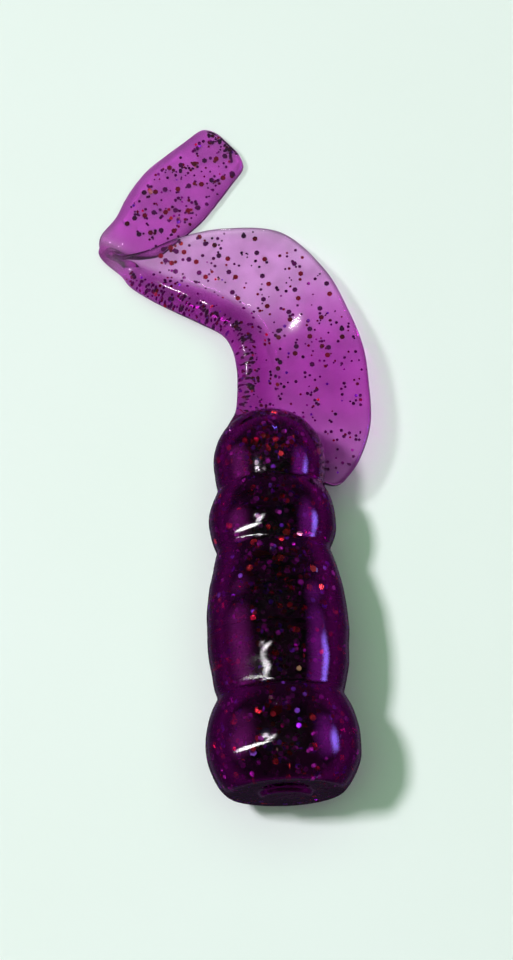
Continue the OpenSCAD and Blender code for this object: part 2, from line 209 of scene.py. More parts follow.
# steps from the fold and heights, as shares of the fold's rise
SPINE_FOLD = ([[-0.39, 0.09], [-0.36, 0.59]], [0, 0])
OUTER_FOLD = ([[-0.05, -0.2], [0.55, -0.25]], [0.88, 0.36])
TIP_ALONG = np.array([math.cos(TIP_HEADING), math.sin(TIP_HEADING)])
TIP_LEFT = np.array([-math.sin(TIP_HEADING), math.cos(TIP_HEADING)])
# shares of the paddle's length: where its places lie, where it is widest and where its end starts
TIP_SHARES = np.array([0.17, 0.3, 0.42, 0.54, 0.68, 0.82, 0.94, 0.98, 1.0])
SHOULDER, BLUNT = 0.54, 0.94
# half widths of the paddle's base, as shares of its width, and the lift of its right edge there, as
# a share of the fold's rise
BASE_LEFT, BASE_RIGHT, BASE_LIFT = 0.2, 0.36, 0.3
TAPER, END_ROUND = 1.2, 0.75


def from_shares(shares):
    """World places of a web edge: shares times web width, web length and flap height."""
    return np.stack([FLAP[0] + shares[:, 0] * WEB_W, FLAP[1] + shares[:, 1] * WEB_LEN,
                     FAR_Z + (FLAP[2] - FAR_Z) * shares[:, 2]], -1)


def tip_edge(side):
    """Left (+1) or right (-1) edge of the paddle: its half width, set off square to its heading. The
    half width grows on a sine to the shoulder, falls as a power to the end, and is rounded there.
    The lift of the right edge dies away as a fourth power."""
    s = TIP_SHARES
    base = (BASE_LEFT if side > 0 else BASE_RIGHT) * TIP_W
    grows = base + (TIP_W / 2 - base) * np.sin(np.pi / 2 * np.minimum(s / SHOULDER, 1))
    falls = (TIP_END_W - TIP_W) / 2 * (np.maximum(s - SHOULDER, 0) / (1 - SHOULDER)) ** TAPER
    half = np.where(s < SHOULDER, grows, TIP_W / 2 + falls)
    half *= np.sqrt(1 - END_ROUND * (np.maximum(s - BLUNT, 0) / (1 - BLUNT)) ** 2)
    off = half - TIP_T / 2 if side > 0 else half
    lift = 0 if side > 0 else FOLD_RISE * BASE_LIFT * (1 - s) ** 4
    xy = FOLD_AT + TIP_LEN * s[:, None] * TIP_ALONG + side * off[:, None] * TIP_LEFT
    return np.column_stack([xy, FAR_Z + lift + 0 * s])


def fold_edge(steps, heights):
    """Two places that carry an edge through the fold: the fold's place, plus the steps and heights
    times the fold's rise."""
    xy = FOLD_AT + FOLD_RISE * np.array(steps)
    return np.column_stack([xy, FAR_Z + FOLD_RISE * np.array(heights)])


spine_edge = np.vstack([from_shares(SPINE_SHARES), fold_edge(*SPINE_FOLD), tip_edge(1)])
outer_edge = np.vstack([from_shares(OUTER_SHARES), fold_edge(*OUTER_FOLD), tip_edge(-1)])
TIP_END = len(spine_edge) - 1
print("ribbon stations", TIP_END + 1)

# %% [markdown]
# Between the places, each edge is a Catmull-Rom curve, which passes through every place with no
# corner. At any station the line from spine to outer edge, and the direction of travel, give a
# small frame of axes to draw the section in.

# %% Section frames
SLOPE_STEP = 0.02
LOBE_ROUND, LOBE_CORNER = 0.75, 2.6


def on_curve(p, u):
    """Catmull-Rom curve through the places p at stations u: a cubic in each gap whose slope at
    a place is half of the step between its neighbours."""
    last = len(p) - 1
    i = np.clip(np.floor(u).astype(int), 0, last - 1)
    t = (u - i)[:, None]
    a, b, c, d = p[np.maximum(i - 1, 0)], p[i], p[i + 1], p[np.minimum(i + 2, last)]
    square, cube = 2 * a - 5 * b + 4 * c - d, 3 * b - a - 3 * c + d
    return 0.5 * (2 * b + (c - a) * t + square * t ** 2 + cube * t ** 3)


def unit(v):
    """Rows of v at length one."""
    return v / np.linalg.norm(v, axis=-1, keepdims=True)


def ribbon_frame(u):
    """Spine place, direction across, normal and width of the ribbon at stations u. The normal
    is square to the direction across and to the travel of the middle line."""
    s, o = on_curve(spine_edge, u), on_curve(outer_edge, u)
    here = np.clip(u, SLOPE_STEP, TIP_END - SLOPE_STEP)
    middle = 0.5 * (spine_edge + outer_edge)
    along = on_curve(middle, here + SLOPE_STEP) - on_curve(middle, here - SLOPE_STEP)
    across = unit(o - s)
    width = np.linalg.norm(o - s, axis=-1)
    # at its start the lobe closes in a round corner, whose end lies inside the body
    corner = np.clip((u - LOBE_START) / LOBE_ROUND, 0, 1)
    width = width - LOBE_CORNER * (1 - np.sqrt(1 - (1 - corner) ** 2))
    return s, across, unit(np.cross(across, along)), width


print("web is", round(float(ribbon_frame(np.array([3.0]))[3][0]), 2), "mm wide at the flap line")

# %% [markdown]
# The spine thins towards the fold. The sheet is thin in the lobe beside the dome, thick at the
# root and thin again up the web. Steps with a corner in them would show as hard-edged highlights
# on the glossy skin, so every change is an eased step.

# %% Thickness of the ribbon
SPINE_R_DOME, SPINE_R_FOLD = 1.6, 0.55
# the thick root also darkens the lower web in place of the shade that falls on it
LOBE_SHEET, ROOT_SHEET, WEB_SHEET, PADDLE_SHEET = 0.7, 1.45, 0.3, 1.08
# stations between which the sheet gets thicker, and then thinner
GROWS, THINS = (0.6, 3.0), (3.6, 6.6)


def eased(u, start, end):
    """0 before the start, 1 after the end, and between them three squares less two cubes of the
    share of the way."""
    t = np.clip((u - start) / (end - start), 0, 1)
    return t * t * (3 - 2 * t)


def past_fold(u):
    """0 before the fold, 1 after it, with a smooth step between."""
    return eased(u, FOLD_START, FOLD_END)


def spine_radius(u):
    """Radius of the spine: it thins evenly from the dome to the flap line, then as the power 2.5 of
    the way to the fold, and beyond the fold is half the paddle's thickness."""
    tail = np.clip((u - FLAP_STATION) / (FOLD_START - FLAP_STATION), 0, 1) ** 2.5
    thin = np.where(u < FLAP_STATION, SPINE_R_DOME - (SPINE_R_DOME - SPINE_R_FLAP) * u / FLAP_STATION,
                    SPINE_R_FLAP - (SPINE_R_FLAP - SPINE_R_FOLD) * tail)
    return thin + (TIP_T / 2 - SPINE_R_FOLD) * past_fold(u)


def sheet_thickness(u):
    """Thickness of the sheet: thin in the lobe, full at the root, thin again up the web, then the
    paddle's."""
    gain = (ROOT_SHEET - LOBE_SHEET) * eased(u, *GROWS)
    loss = (ROOT_SHEET - WEB_SHEET) * eased(u, *THINS)
    web = LOBE_SHEET + gain - loss
    return web + (PADDLE_SHEET - web) * past_fold(u)


print("spine", 2 * SPINE_R_FLAP, "mm and sheet", sheet_thickness(np.array([3.0, 8.0])), "mm thick")

# %% [markdown]
# The section is a round bead with a thin sheet beside it. Joining a cylinder and a plate would
# leave a hard inner corner, which a pour doesn't have. Instead the half height at each place
# across is the root of the sum of the squares of the bead's height and the sheet's, which is the
# larger of the two with a soft fillet between them. The outer rim is eased down in a narrow
# bevel, which draws part of the dark line round the real tail; the rest of that line is painted
# shade. Two more values ride on each place for the material: how near it is to a rim, which sets
# the painted shade there, and how near to the crease of the fold, which makes it milky and paints
# shade in it.

# %% Skin of the ribbon
ACROSS = 112
# widths of the rim, and the largest share of the ribbon's width that it takes
WEB_RIM, PADDLE_RIM, MOST_RIM = 0.34, 0.7, 0.4
FILLET, RIBBON_EASE = 2.3, 0.05
# stations over which the paddle's end is eased down, and the share of its height that is left there
END_RUN, END_SHARE = 0.6, 0.25
# shade of the settled glitter, and the stations where it starts, is full, fades and ends
SETTLED, SETTLED_AT = 0.45, (4.5, 6.0, 10.0, 11.5)
# the skins of the web and of the paddle meet in the crease
SEAM, SEAM_GAP, CREASE_REACH = 12.0, 0.0005, 0.9


def bevel(inward):
    """Share of the full height at a share of the way in from an edge: one minus the power 2.6 of
    the way that is left, to the power 0.55."""
    return (1 - (1 - inward) ** 2.6) ** 0.55


def ribbon_rings(u):
    """Rings of the ribbon's skin, out along the top and back along the underside, with places
    closer together at both edges, and for each place its nearness to the rim and to the crease,
    from 0 to 1. Right of the spine the bead's height falls as the power 1.5 of one minus the
    square of x over 2.3 r, so that the fillet is never steep enough to turn light back."""
    s, across, normal, w = ribbon_frame(u)
    r, t, turned = spine_radius(u)[:, None], sheet_thickness(u)[:, None], past_fold(u)[:, None]
    v = np.arange(ACROSS) / ACROSS
    q = 0.5 - 0.5 * np.cos(2 * np.pi * v)
    x = -r + (w[:, None] + r) * q
    edge = np.minimum(WEB_RIM + (PADDLE_RIM - WEB_RIM) * turned, MOST_RIM * w[:, None])
    inward = np.clip((w[:, None] - x) / edge, 0, 1)
    round_left = np.sqrt(np.clip(1 - np.minimum(x / r, 0) ** 2, 0, 1))
    sheet = t / 2 * bevel(inward) * round_left
    round_right = np.clip(1 - (x / (FILLET * r)) ** 2, 0, 1) ** 1.5
    bead = r * np.where(x < 0, round_left, round_right) * (1 - turned)
    # the far end of the paddle is eased down like its rim
    ends = np.clip((TIP_END - u[:, None]) / END_RUN, 0, 1)
    height = np.hypot(bead, sheet) * (END_SHARE + (1 - END_SHARE) * bevel(ends))
    height = height * np.where(v < 0.5, 1, -1)
    p = s[:, None] + across[:, None] * x[..., None] + normal[:, None] * height[..., None]
    p[..., 2] = eased_to_floor(p[..., 2], RIBBON_EASE)
    near_rim = np.maximum(np.maximum(1 - inward, (1 - round_left) * turned), 1 - ends)
    # glitter has settled along the upper spine, which is shaded for it like a rim
    upper = np.interp(u, SETTLED_AT, (0, 1, 1, 0))[:, None]
    near_rim = np.maximum(near_rim, SETTLED * upper * bead / r)
    crease = np.exp(-((u[:, None] - SEAM) / CREASE_REACH) ** 2) + 0 * x
    return p, near_rim, crease


def stations(*runs):
    """Stations of several runs, each given by its start, end and count, joined where they meet."""
    return np.concatenate([np.linspace(*run)[min(k, 1):] for k, run in enumerate(runs)])


tail_rings, tail_rim, tail_crease = ribbon_rings(
    stations((LOBE_START, 0.6, 40), (0.6, 9.9, 180), (9.9, SEAM, 70)))
tip_rings, tip_rim, tip_crease = ribbon_rings(
    stations((SEAM + SEAM_GAP, 14, 70), (14, 21.4, 120), (21.4, TIP_END, 16)))
print("tail rings", tail_rings.shape, "paddle rings", tip_rings.shape)

# %% [markdown]
# Rings become a closed mesh in one way for every piece: quads between neighbouring rings, and an
# end at each side. A round end takes a fan to its middle point. A flat ribbon end takes a ladder
# of quads between its top and its underside. Ends that lie inside the pour, where two stretches
# of skin meet, are marked sharp, so that they don't bend the shading beside them.

# %% Mesh of a skin
def skin_mesh(name, rings, ends, sharp):
    """Object over a grid of rings. ends and sharp give, for the first and the last ring, "fan"
    or "ladder", and whether its edge is sharp."""
    n, m = rings.shape[:2]
    verts = rings.reshape(-1, 3)
    j, i = np.meshgrid(np.arange(n - 1), np.arange(m), indexing="ij")
    k = (i + 1) % m
    quads = np.stack([j * m + i, j * m + k, (j + 1) * m + k, (j + 1) * m + i], -1)
    faces = quads.reshape(-1, 4).tolist()
    smooth = [True] * len(faces)
    for which, ring in ((0, 0), (1, n - 1)):
        loop = ring * m + np.arange(m)
        if ends[which] == "fan":
            verts = np.vstack([verts, rings[ring].mean(0)])
            cap = np.stack([np.full(m, len(verts) - 1), np.roll(loop, -1), loop], -1)
        else:
            h = np.arange(m // 2)
            cap = np.stack([loop[h], loop[-h], loop[-h - 1], loop[h + 1]], -1)
        cap = cap[:, ::-1] if which else cap
        faces += [list(dict.fromkeys(f)) for f in cap.tolist()]
        smooth += [not sharp[which]] * len(cap)
    faces = [f for f in faces if len(f) > 2]
    mesh = bpy.data.meshes.new(name)
    mesh.from_pydata((verts * MM).tolist(), [], faces)
    mesh.update(calc_edges=True)
    mesh.polygons.foreach_set("use_smooth", smooth[:len(faces)])
    pairs = np.empty(2 * len(mesh.edges), int)
    mesh.edges.foreach_get("vertices", pairs)
    ring_of = pairs.reshape(-1, 2) // m
    for which, ring in ((0, 0), (1, n - 1)):
        if sharp[which]:
            on_end = (ring_of == ring).all(1)
            hard = np.array([e.use_edge_sharp for e in mesh.edges]) | on_end
            mesh.edges.foreach_set("use_edge_sharp", hard)
    obj = bpy.data.objects.new(name, mesh)
    bpy.context.scene.collection.objects.link(obj)
    return obj


skins = {}
for name, a_from, a_to in (("skin_front", None, FRONT_CUT), ("skin_middle", FRONT_CUT, REAR_CUT),
                           ("skin_rear", REAR_CUT, None)):
    sharp = (a_from is not None, a_to is not None)
    skins[name] = skin_mesh(name, turned_rings(a_from, a_to), ("fan", "fan"), sharp)
for name, rings in (("skin_tail", tail_rings), ("skin_tip", tip_rings)):
    skins[name] = skin_mesh(name, rings, ("ladder", "ladder"), (True, True))
for name, rim, crease in (("skin_tail", tail_rim, tail_crease), ("skin_tip", tip_rim, tip_crease)):
    for attribute, values in (("rim", rim), ("crease", crease)):
        added = skins[name].data.attributes.new(attribute, "FLOAT", "POINT")
        added.data.foreach_set("value", values.ravel())
for name, obj in skins.items():
    print(name, len(obj.data.polygons), "faces")

# %% [markdown]
# Glitter is cut film, so each flake is a thin six-sided plate. Hundreds of separate objects would
# be slow and hard to handle. Instead one mesh holds all the flakes of one colour family in one
# stretch, worked out as arrays: a hexagon, turned to each flake's own axes and set at its place.

# %% Flake meshes
rng = np.random.default_rng(23)
HEX = np.arange(6) * np.pi / 3
FLAKE_T = 0.03


def flake_mesh(name, places, normals, sizes):
    """Six-sided plates at the places, square to the normals, each of its own size across its
    corners. A corner lies at the place plus half the size times cosine and sine of its turn.
    Every plate has two hexagons and six sides."""
    n = len(places)
    helper = np.where(np.abs(normals[:, :1]) < 0.8, [[1.0, 0, 0]], [[0, 1.0, 0]])
    side = unit(np.cross(normals, helper))
    turn = rng.uniform(0, np.pi, n)[:, None] + HEX
    other = np.cross(normals, side)
    flat = np.cos(turn)[..., None] * side[:, None] + np.sin(turn)[..., None] * other[:, None]
    rim = places[:, None] + flat * sizes[:, None, None] / 2
    lift = FLAKE_T / 2 * normals[:, None]
    verts = np.concatenate([rim + lift, rim - lift], 1).reshape(-1, 3)
    base = (12 * np.arange(n))[:, None]
    top, low = base + np.arange(6), base + 6 + np.arange(6)[::-1]
    i = np.arange(6)
    k = (i + 1) % 6
    walls = np.stack([i, i + 6, k + 6, k], -1)[None] + base[..., None]
    faces = top.tolist() + low.tolist() + walls.reshape(-1, 4).tolist()
    mesh = bpy.data.meshes.new(name)
    mesh.from_pydata((verts * MM).tolist(), [], faces)
    mesh.update(calc_edges=True)
    obj = bpy.data.objects.new(name, mesh)
    bpy.context.scene.collection.objects.link(obj)
    return obj


print("a flake has", 2 * len(HEX), "corners and is", FLAKE_T, "mm thick")

# %% [markdown]
# In the body the flakes lie every way in a layer under the skin, since deeper ones can't be seen
# in so dark a pour. In the web and the paddle they lie flat, as the thin sheet leaves them no
# room, and gather in clumps. The spine is round, so its flakes lean every way again.

# %% Places of the flakes
DEPTHS = (0.25, 1.7)
# least distances in millimetres from the floor, the body's axis, the spine and the rim
FLOOR_CLEAR, AXIS_CLEAR, SPINE_CLEAR, RIM_CLEAR = 0.5, 0.3, 0.2, 0.45
BODY_LEAN, SHEET_LEAN, SPINE_LEAN = 0.8, 0.25, 0.5
OFF_MIDDLE = 0.1


def tipped(n, axis, spread):
    """n unit vectors within about the spread, in radians, of the axis or axes given: the axis plus
    a random vector times the tangent of the spread."""
    return unit(axis + np.tan(spread) * rng.normal(0, 0.6, (n, 3)))


def body_flakes(n, a_from, a_to):
    """Places in a layer under the body's skin: evenly along, around and through its depths, above
    the resting flats, with normals that lean every way about the upright."""
    a, t = rng.uniform(a_from, a_to, n), rng.uniform(0, 2 * np.pi, n)
    r = outline_radius(a) - rng.uniform(*DEPTHS, n)
    p = on_axis(a, r * np.sin(t), r * np.cos(t))
    keep = (p[:, 2] > FLOOR_CLEAR) & (r > AXIS_CLEAR)
    return p[keep], tipped(keep.sum(), np.array([0, 0, 1.0]), BODY_LEAN)


def ribbon_flakes(n, u_from, u_to):
    """Places near the ribbon's middle surface, lying nearly flat. They are even over its area,
    then thinned by a product of two sines, so that they gather in clumps as stirred flakes do."""
    tries = 10 * n
    u = rng.uniform(u_from, u_to, tries)
    s, across, normal, w = ribbon_frame(u)
    x = SPINE_CLEAR + (w - SPINE_CLEAR - RIM_CLEAR) * rng.uniform(0, 1, tries)
    p = s + across * x[:, None] + normal * rng.uniform(-OFF_MIDDLE, OFF_MIDDLE, (tries, 1))
    px, py = p[:, 0], p[:, 1]
    clump = 0.55 + 0.45 * np.sin(1.3 * px + 0.8 * py + 1) * np.sin(1.1 * py - 0.7 * px)
    keep = np.flatnonzero(rng.uniform(0, 1, tries) < clump * w / w.max())[:n]
    return p[keep], tipped(len(keep), normal[keep], SHEET_LEAN)


def spine_flakes(n, u_from, u_to):
    """Places inside the round spine, even along it and over a disc of 0.6 of its radius, leaning
    every way."""
    draw = np.random.default_rng(41)
    u, turn = draw.uniform(u_from, u_to, n), draw.uniform(0, 2 * np.pi, n)
    off = 0.6 * spine_radius(u) * np.sqrt(draw.uniform(0, 1, n))
    s, across, normal = ribbon_frame(u)[:3]
    p = s + across * (off * np.cos(turn))[:, None] + normal * (off * np.sin(turn))[:, None]
    return p, unit(normal + draw.normal(0, SPINE_LEAN, (n, 3)))


def tail_flakes(in_web, in_spine):
    """Flakes of the web and of the spine, as one list of places and one of normals."""
    web, spine = ribbon_flakes(in_web, 0.4, 9.4), spine_flakes(in_spine, 1.0, 10.4)
    return tuple(np.vstack(pair) for pair in zip(web, spine))


print("flakes lie", DEPTHS[0], "to", DEPTHS[1], "mm under the body's skin")

# %% [markdown]
# Colours are given as they look on a screen, in hex, and one function turns them to the linear
# values that a shader works in. One more function adds a node with its settings and its links.

# %% Helpers for materials
def linear(code):
    """Linear colour of an sRGB hex code: the standard curve, channel by channel."""
    c = np.array([int(code[i:i + 2], 16) for i in (1, 3, 5)]) / 255
    return tuple(np.where(c <= 0.04045, c / 12.92, ((c + 0.055) / 1.055) ** 2.4)) + (1.0,)


def node(tree, kind, links=(), values=(), **settings):
    """Adds a node, sets its properties and socket values, and links (own input, other output)."""
    made = tree.nodes.new(kind)
    for key, value in settings.items():
        setattr(made, key, value)
    for key, value in dict(values).items():
        made.inputs[key].default_value = value
    for key, source in dict(links).items():
        tree.links.new(source, made.inputs[key])
    return made


def new_material(name):
    """Empty node material and its output node."""
    mat = bpy.data.materials.new(name)
    mat.use_nodes = True
    mat.node_tree.nodes.clear()
    return mat, mat.node_tree, node(mat.node_tree, "ShaderNodeOutputMaterial")


print("white in linear", linear("#ffffff"))

# %% [markdown]
# Plastisol is soft vinyl, poured hot into a mould. It is clear, so colour comes from how far light
# travels in it: the web is lilac, the spine violet, and the thick body nearly black. A surface
# colour can't do that, so the skin is clear and glossy and the inside absorbs light, green most.
# The skin carries the faint ripple of a hand-made mould, and is glossier in some places. Soft
# vinyl turns milky where it is folded hard, so less light goes straight through the crease. The
# crease and the rims are also darkened with painted shade.

# %% Purple plastisol
VINYL_IOR = 1.49
# the plum of the crease is painted shade
DYE, CREASE_SHADE = "#e200df", "#b060a8"
# RIM_SHADE is the share of the stain left at a rim, as painted shade
RIM_SHADE, CREASE_MILK = 0.3, 0.4


def purple_plastisol(name, density, clear, stain, ripples):
    """Clear gloss skin over an inside that takes light: at density 1000, a millimetre lets through
    0.79 of red, 0.37 of green and 0.77 of blue. The clear share of the light goes through, tinted
    by the stain, and the rest is scattered by pigment. The stain clouds over 2 mm. At a rim it is
    darkened with painted shade, for the light that the bevel bends away, and in the crease it turns
    to a painted plum shade."""
    mat, tree, out = new_material(name)
    where = node(tree, "ShaderNodeTexCoord")
    ripple = node(tree, "ShaderNodeTexNoise", {"Vector": where.outputs["Object"]},
                  {"Scale": 1 / (3 * MM), "Detail": 0.0})
    bump = node(tree, "ShaderNodeBump", {"Height": ripple.outputs["Fac"]},
                {"Strength": ripples, "Distance": 0.2 * MM})
    patch = node(tree, "ShaderNodeTexNoise", {"Vector": where.outputs["Object"]},
                 {"Scale": 1 / (5 * MM), "Detail": 1.0})
    gloss = node(tree, "ShaderNodeMapRange", {"Value": patch.outputs["Fac"]},
                 {"From Min": 0.3, "From Max": 0.7, "To Min": 0.02, "To Max": 0.08})
    cloud = node(tree, "ShaderNodeTexNoise", {"Vector": where.outputs["Object"]},
                 {"Scale": 1 / (2 * MM), "Detail": 3.0})
    wisps = node(tree, "ShaderNodeMapRange", {"Value": cloud.outputs["Fac"]},
                 {"From Min": 0.35, "From Max": 0.65, "To Min": 0.82, "To Max": 1.0})
    rim = node(tree, "ShaderNodeAttribute", attribute_name="rim")
    # painted shade: the stain darkens towards a rim
    rim_shade = node(tree, "ShaderNodeMapRange", {"Value": rim.outputs["Fac"]},
                     {"From Min": 0.0, "From Max": 1.0, "To Min": 1.0, "To Max": RIM_SHADE})
    fold = node(tree, "ShaderNodeAttribute", attribute_name="crease")
    milky = node(tree, "ShaderNodeMapRange", {"Value": fold.outputs["Fac"]},
                 {"From Min": 0.0, "From Max": 1.0, "To Min": clear, "To Max": clear - CREASE_MILK})
    shade = node(tree, "ShaderNodeMath", {0: wisps.outputs["Result"], 1: rim_shade.outputs["Result"]},
                 operation="MULTIPLY")
    colour = node(tree, "ShaderNodeVectorMath", {"Scale": shade.outputs["Value"]},
                  {0: linear(stain)[:3]}, operation="SCALE")
    # inputs 6 and 7 of a mix are its two colours, and output 2 is the mixed colour
    # painted shade: the colour turns plum in the crease
    plum = node(tree, "ShaderNodeMix", {0: fold.outputs["Fac"], 6: colour.outputs["Vector"]},
                {7: linear(CREASE_SHADE)}, data_type="RGBA")
    skin = node(tree, "ShaderNodeBsdfPrincipled",
                {"Base Color": plum.outputs[2], "Roughness": gloss.outputs["Result"],
                 "Normal": bump.outputs["Normal"], "Transmission Weight": milky.outputs["Result"]},
                {"IOR": VINYL_IOR})
    inside = node(tree, "ShaderNodeVolumeAbsorption", (),
                  {"Color": linear(DYE), "Density": density})
    tree.links.new(skin.outputs["BSDF"], out.inputs["Surface"])
    tree.links.new(inside.outputs["Volume"], out.inputs["Volume"])
    return mat


# the body is so thick that even half of the ribbon's dye leaves it nearly black
thick_pour = purple_plastisol("purple_plastisol", 750.0, 1.0, "#ffffff", 0.05)
thin_pour = purple_plastisol("purple_plastisol_thin", 1500.0, 0.985, "#ffe8ff", 0.4)
for name, obj in skins.items():
    obj.data.materials.append(thin_pour if name in ("skin_tail", "skin_tip") else thick_pour)
print("plastisol on", len(skins), "skins")

# %% [markdown]
# The glitter is polyester film with a bright metal coat, cut to hexagons. Most of what is stirred
# into this pour is dark plum or magenta, and the rest is red, violet, gold and blue. The coat
# varies a little from flake to flake, which a slow noise over the piece gives without a colour
# for each one. A flake flashes when it tips towards a lamp and is dark otherwise.

# %% Glitter film
def glitter_film(name, dark, bright, rough):
    """Metal-coated film: its colour wanders between two hex codes over about 3 mm."""
    mat, tree, out = new_material(name)
    where = node(tree, "ShaderNodeTexCoord")
    wander = node(tree, "ShaderNodeTexNoise", {"Vector": where.outputs["Object"]},
                  {"Scale": 1 / (3 * MM)})
    ramp = node(tree, "ShaderNodeValToRGB", {"Fac": wander.outputs["Fac"]})
    ramp.color_ramp.elements[0].position, ramp.color_ramp.elements[0].color = 0.35, linear(dark)
    ramp.color_ramp.elements[1].position, ramp.color_ramp.elements[1].color = 0.65, linear(bright)
    film = node(tree, "ShaderNodeBsdfPrincipled", {"Base Color": ramp.outputs["Color"]},
                {"Metallic": 1.0, "Roughness": rough})
    tree.links.new(film.outputs["BSDF"], out.inputs["Surface"])
    return mat


FILMS = {
    "red_film": glitter_film("red_film", "#b0141c", "#ff5a50", 0.25),
    "gold_film": glitter_film("gold_film", "#d8a860", "#fff0c8", 0.2),
    "magenta_film": glitter_film("magenta_film", "#5a0c58", "#b83cb0", 0.3),
    "violet_film": glitter_film("violet_film", "#4a1c98", "#a86cf0", 0.3),
    "blue_film": glitter_film("blue_film", "#5a6ae8", "#b8ccff", 0.2),
    "dark_film": glitter_film("dark_film", "#300830", "#701c68", 0.4),
    "dark_red_film": glitter_film("dark_red_film", "#4a0618", "#a01c2c", 0.35),
}
print("films", sorted(FILMS))

# %% [markdown]
# Each stretch of skin gets two meshes of flakes, a warm one and a cool one, so that a library user
# can change either colour. The film of each flake is drawn by lot with the shares below. The
# bright films are cut a third larger, because they carry the sparkle, and the ribbon has finer
# flakes than the body.

# %% Flakes in every stretch
WARM = ("red_film", "gold_film", "magenta_film", "dark_red_film")
COOL = ("violet_film", "blue_film", "dark_film")
BRIGHT = [(WARM + COOL).index(film) for film in ("red_film", "gold_film", "blue_film")]
BRIGHT_CUT = 1.3
# share of each film, warm then cool, and the smallest and the largest cut in millimetres
BODY_MIX = ((0.06, 0.012, 0.24, 0.14, 0.12, 0.012, 0.416), 0.3, 0.5)
RIBBON_MIX = ((0.03, 0.01, 0.06, 0.2, 0.04, 0.0, 0.66), 0.14, 0.32)
# distances along the axis that flakes keep from a cut or the face, and from the tip of the dome
CUT_CLEAR, DOME_CLEAR = 0.3, 0.5
STRETCHES = {
    "front": (body_flakes(1750, NOSE_END + CUT_CLEAR, FRONT_CUT - CUT_CLEAR), BODY_MIX),
    "middle": (body_flakes(1350, FRONT_CUT + CUT_CLEAR, REAR_CUT - CUT_CLEAR), BODY_MIX),
    "rear": (body_flakes(1250, REAR_CUT + CUT_CLEAR, DOME_END - DOME_CLEAR), BODY_MIX),
    "tail": (tail_flakes(380, 280), RIBBON_MIX),
    "tip": (ribbon_flakes(240, 14.2, 21.3), RIBBON_MIX),
}
flakes = {}
for stretch, ((places, normals), (shares, smallest, largest)) in STRETCHES.items():
    film = rng.choice(len(shares), len(places), p=shares)
    sizes = rng.uniform(smallest, largest, len(places))
    sizes = sizes * np.where(np.isin(film, BRIGHT), BRIGHT_CUT, 1.0)
    for family, films, first in (("warm", WARM, 0), ("cool", COOL, len(WARM))):
        pick = (film >= first) & (film < first + len(films))
        obj = flake_mesh(f"flakes_{stretch}_{family}", places[pick], normals[pick], sizes[pick])
        for f in films:
            obj.data.materials.append(FILMS[f])
        # a mesh holds all its top hexagons, then all the lower ones, then six sides a flake
        index = film[pick] - first
        face_films = np.concatenate([index, index, np.repeat(index, 6)]).astype(int)
        obj.data.polygons.foreach_set("material_index", face_films)
        flakes[stretch, family] = obj
        print(obj.name, int(pick.sum()), "flakes")

# %% [markdown]
# The solids already hold a sample of red and violet flakes, whose shape is right. They stay, and
# only get the film's finish.

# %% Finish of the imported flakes
for name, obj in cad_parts.items():
    if name.endswith("_flakes"):
        obj.data.materials.clear()
        in_ribbon = name.startswith(("web", "tip"))
        warm, cool = ("dark_red_film", "dark_film") if in_ribbon else ("red_film", "violet_film")
        obj.data.materials.append(FILMS[warm if "_red_" in name else cool])
print("packed flakes finished")

# %% [markdown]
# Each skin crosses one joint, between the two bodies on either side of it, and the table below
# names them and a stretch about as long as the bait is thick. Nothing here bends a skin or its
# flakes: their places are baked into their meshes, and the solids that a skin stands for are
# hidden. The cuts lie where the skin follows one body only.

# %% Baking the skins and hiding the solids
def axis_place(a):
    """World place on the body axis, in metres."""
    return tuple(on_axis(np.array(float(a)), 0.0, 0.0) * MM)


def metres(x, y, z):
    """World place from millimetres."""
    return (x * MM, y * MM, z * MM)


BENDS = {
    "front": ("nose", "barrel", axis_place(1.4), axis_place(6.6)),
    "middle": ("barrel", "ring", axis_place(13.6), axis_place(18.2)),
    "rear": ("ring", "dome", axis_place(18.6), axis_place(23.4)),
    "tail": ("dome", "tail", metres(0, 27.9, 3.9), metres(0, 31.6, 3.9)),
    "tip": ("tail", "tip", metres(-12.1, 42.3, 1.6), metres(-10.18, 44.86, 1.6)),
}
STANDS_FOR = {
    "front": ("nose_segment", "front_neck"), "middle": ("barrel_segment", "middle_neck"),
    "rear": ("ring_segment", "rear_neck", "tail_dome"),
    "tail": ("tail_root", "tail_hinge", "tail_spine", "tail_web"), "tip": ("tail_fold", "tail_tip"),
}
for stretch, (a, b, start, end) in BENDS.items():
    skin = skins[f"skin_{stretch}"]
    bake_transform(skin)
    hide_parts(*STANDS_FOR[stretch])
    for family, slot in (("warm", "red_glitter"), ("cool", "violet_glitter")):
        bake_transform(flakes[stretch, family])
print("bends", {k: v[:2] for k, v in BENDS.items()})

# %% [markdown]
# The bait lies on a plain pale surface, which is matt. It is hidden from reflections, because the
# underside of a bulge would mirror it as a flat grey band, and it is wide enough to fill a low
# view from any side.

# %% Floor
def pale_card():
    """Matt card, a faintly green white, with a slow mottle."""
    mat, tree, out = new_material("pale_card")
    where = node(tree, "ShaderNodeTexCoord")
    mottle = node(tree, "ShaderNodeTexNoise", {"Vector": where.outputs["Object"]},
                  {"Scale": 1 / (30 * MM)})
    ramp = node(tree, "ShaderNodeValToRGB", {"Fac": mottle.outputs["Fac"]})
    for k, code in enumerate(("#eaf6ea", "#eff9f1")):
        ramp.color_ramp.elements[k].color = linear(code)
    card = node(tree, "ShaderNodeBsdfPrincipled", {"Base Color": ramp.outputs["Color"]},
                {"Roughness": 0.9, "Specular IOR Level": 0.1})
    tree.links.new(card.outputs["BSDF"], out.inputs["Surface"])
    return mat


